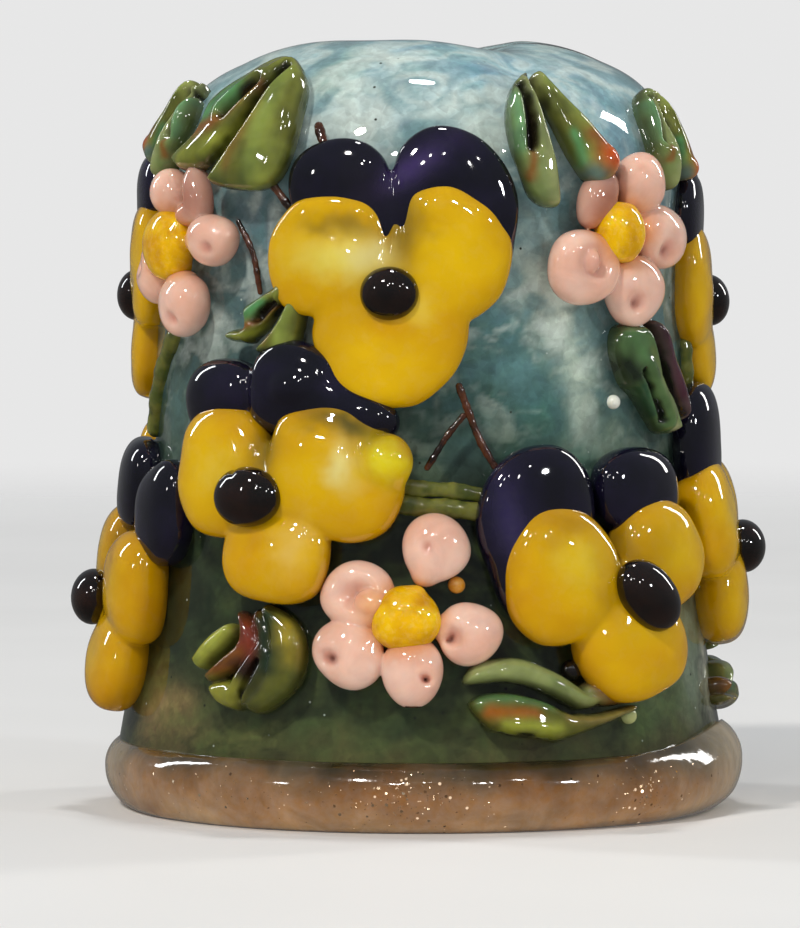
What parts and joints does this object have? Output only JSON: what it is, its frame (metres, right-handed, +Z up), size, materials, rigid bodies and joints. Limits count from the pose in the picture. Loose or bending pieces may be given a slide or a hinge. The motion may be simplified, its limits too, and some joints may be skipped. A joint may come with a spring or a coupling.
{
  "type": "thimble",
  "caption": "Decorative glass thimble: blind tapered finger cup under coloured layers and clear casing, coiled foot, raised pansies, blossoms, leaves and stringers melted on the outside.",
  "frame": {"origin": "centre of the foot coil's flat underside, on the axis of the finger bore", "axes": "+Z up the bore axis towards the crown; -Y towards the front, where the upper pansy sits; +X to the viewer's right"},
  "size_m": [0.026, 0.0252, 0.028],
  "materials": {
    "glass_amber": "small amber and white beads",
    "glass_black_brown": "opaque black-brown glass, fire polished",
    "glass_blush": "opaque pale pink glass, fire polished",
    "glass_clear": "clear glass, fire polished",
    "glass_copper_tan": "translucent copper-tan glass, fire polished",
    "glass_forest_green": "dark olive and forest green frit",
    "glass_golden": "opaque golden yellow glass, fire polished",
    "glass_goldstone": "goldstone: brown glass full of copper flakes",
    "glass_leaf_green": "streaky lime, mint and brown glass, fire polished",
    "glass_olive_clear": "clear olive stringer",
    "glass_opal": "opal white glass, smooth",
    "glass_sky_blue": "pale ice blue and white frit",
    "glass_twig_brown": "dark brown stringer with a copper tint",
    "glass_violet": "opaque deep violet glass, fire polished",
    "glass_yellow": "opaque yellow glass shading to amber, fire polished"
  },
  "bodies": {
    "root": {"accent_dots": "glass_amber", "blossom_back_left_petals": "glass_blush", "blossom_back_low_petals": "glass_blush", "blossom_back_right_petals": "glass_blush", "blossom_centres": "glass_golden", "blossom_front_low_petals": "glass_blush", "blossom_left_upper_petals": "glass_blush", "blossom_right_upper_petals": "glass_blush", "clear_casing": "glass_clear", "finger_cup": "glass_opal", "goldstone_band": "glass_goldstone", "leaf_crown_back_left": "glass_leaf_green", "leaf_crown_back_right": "glass_leaf_green", "leaf_crown_far_left": "glass_leaf_green", "leaf_crown_far_right": "glass_leaf_green", "leaf_crown_left": "glass_leaf_green", "leaf_crown_right": "glass_leaf_green", "leaf_low_back": "glass_leaf_green", "leaf_low_back_left": "glass_leaf_green", "leaf_low_back_right": "glass_leaf_green", "leaf_low_far_right": "glass_leaf_green", "leaf_low_left": "glass_leaf_green", "leaf_low_right": "glass_leaf_green", "leaf_mid_back_left": "glass_leaf_green", "leaf_mid_back_right": "glass_leaf_green", "leaf_mid_left": "glass_leaf_green", "leaf_mid_right": "glass_leaf_green", "meadow_layer": "glass_forest_green", "pansy_back_left_dark_petals": "glass_violet", "pansy_back_left_yellow_petals": "glass_yellow", "pansy_back_low_dark_petals": "glass_violet", "pansy_back_low_yellow_petals": "glass_yellow", "pansy_back_right_dark_petals": "glass_violet", "pansy_back_right_yellow_petals": "glass_yellow", "pansy_back_upper_dark_petals": "glass_violet", "pansy_back_upper_yellow_petals": "glass_yellow", "pansy_eyes": "glass_black_brown", "pansy_front_left_dark_petals": "glass_violet", "pansy_front_left_yellow_petals": "glass_yellow", "pansy_front_right_dark_petals": "glass_violet", "pansy_front_right_yellow_petals": "glass_yellow", "pansy_front_upper_dark_petals": "glass_violet", "pansy_front_upper_yellow_petals": "glass_yellow", "pansy_left_low_dark_petals": "glass_violet", "pansy_left_low_yellow_petals": "glass_yellow", "pansy_left_upper_dark_petals": "glass_violet", "pansy_left_upper_yellow_petals": "glass_yellow", "pansy_right_low_dark_petals": "glass_violet", "pansy_right_low_yellow_petals": "glass_yellow", "pansy_right_upper_dark_petals": "glass_violet", "pansy_right_upper_yellow_petals": "glass_yellow", "rim_coil": "glass_copper_tan", "sky_layer": "glass_sky_blue", "stem_back": "glass_olive_clear", "stem_front": "glass_olive_clear", "stem_left": "glass_olive_clear", "stem_right": "glass_olive_clear", "twig_back": "glass_twig_brown", "twig_front": "glass_twig_brown", "twig_left": "glass_twig_brown"}
  },
  "joints": []
}
